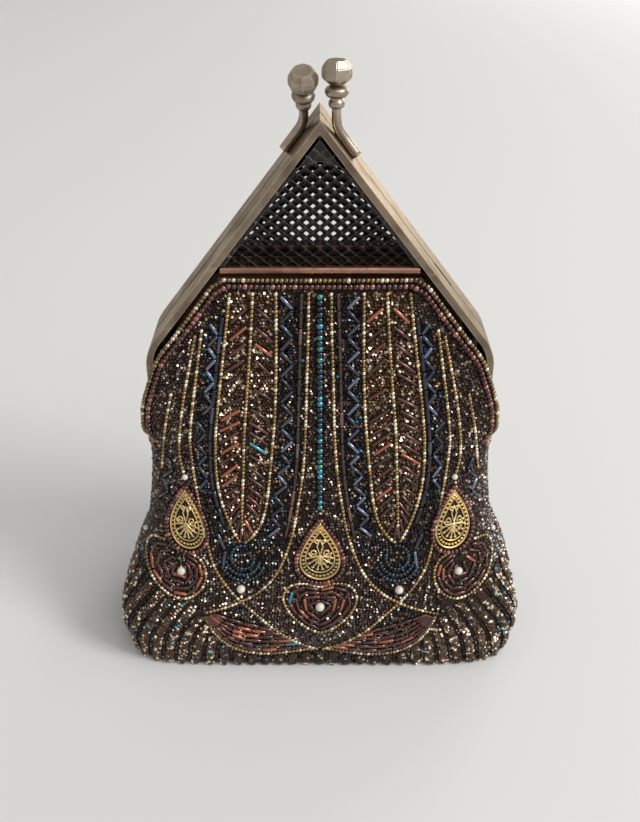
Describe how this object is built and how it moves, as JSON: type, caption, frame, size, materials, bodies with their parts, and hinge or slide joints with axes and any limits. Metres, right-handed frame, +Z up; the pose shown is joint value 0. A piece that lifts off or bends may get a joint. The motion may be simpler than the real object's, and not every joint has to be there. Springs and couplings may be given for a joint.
{
  "type": "beaded evening bag",
  "caption": "Soft beaded pouch bag with a flat foot, on a gabled metal frame with mesh in its peak, hinged at the leg ends and shut by a ball clasp.",
  "frame": {"origin": "middle of the foot, on the table", "axes": "+Z up, +X across the bag to the right seen from the front, front faces -Y"},
  "size_m": [0.142, 0.0678, 0.1989],
  "materials": {
    "brass_frame": "antique brass, darkened in the hollows",
    "brass_clasp": "antique brass, worn bright on the edges",
    "black_mesh": "dull black stretched metal",
    "copper_rail": "rosy copper, satin",
    "beaded_cloth": "dark brown cloth strewn with fine gold-brown glass beads",
    "satin_lining": "brown satin",
    "gold_beads": "gold-lined glass beads",
    "brown_beads": "maroon-brown lustre beads",
    "pearl_beads": "pearl",
    "gold_filigree": "fine gold wire work",
    "blue_green_beads": "iridescent blue-green beads",
    "steel_blue_bugles": "steel-blue metallic bugle beads",
    "maroon_bugles": "maroon and orange bugle beads"
  },
  "bodies": {
    "bag": {"bag_body": "beaded_cloth", "front_bell_lines": "gold_beads", "front_centre_beads": "blue_green_beads", "front_edge_beads_inner": "brown_beads", "front_edge_beads_outer": "gold_beads", "front_feathers": "gold_beads", "front_flowers": "maroon_bugles", "front_lobe_lines": "gold_beads", "front_medallion_rings": "brown_beads", "front_medallions": "gold_filigree", "front_pearls": "pearl_beads", "front_ribs": "gold_beads", "front_scallops": "maroon_bugles", "front_zigzags": "steel_blue_bugles", "left_rivet": "brass_clasp", "lining": "satin_lining", "rear_bell_lines": "gold_beads", "rear_centre_beads": "blue_green_beads", "rear_edge_beads_inner": "brown_beads", "rear_edge_beads_outer": "gold_beads", "rear_feathers": "gold_beads", "rear_flowers": "maroon_bugles", "rear_lobe_lines": "gold_beads", "rear_medallion_rings": "brown_beads", "rear_medallions": "gold_filigree", "rear_pearls": "pearl_beads", "rear_ribs": "gold_beads", "rear_scallops": "maroon_bugles", "rear_zigzags": "steel_blue_bugles", "right_rivet": "brass_clasp"},
    "front_half": {"front_clasp_knob": "brass_clasp", "front_clasp_stem": "brass_clasp", "front_frame": "brass_frame", "front_mesh": "black_mesh", "front_rail": "copper_rail"},
    "rear_half": {"rear_clasp_knob": "brass_clasp", "rear_clasp_stem": "brass_clasp", "rear_frame": "brass_frame", "rear_mesh": "black_mesh", "rear_rail": "copper_rail"}
  },
  "joints": [
    {"name": "front_hinge", "type": "hinge", "parent": "bag", "child": "front_half", "pos_m": [0, 0, 0.0935], "axis": [1, 0, 0], "range_deg": [0, 40], "deforming": ["bag_body", "lining", "front_bell_lines", "front_centre_beads", "front_edge_beads_inner", "front_edge_beads_outer", "front_feathers", "front_flowers", "front_lobe_lines", "front_medallion_rings", "front_medallions", "front_pearls", "front_ribs", "front_scallops", "front_zigzags"]},
    {"name": "rear_hinge", "type": "hinge", "parent": "bag", "child": "rear_half", "pos_m": [0, 0, 0.0935], "axis": [-1, 0, 0], "range_deg": [0, 40], "deforming": ["bag_body", "lining", "rear_bell_lines", "rear_centre_beads", "rear_edge_beads_inner", "rear_edge_beads_outer", "rear_feathers", "rear_flowers", "rear_lobe_lines", "rear_medallion_rings", "rear_medallions", "rear_pearls", "rear_ribs", "rear_scallops", "rear_zigzags"]}
  ]
}
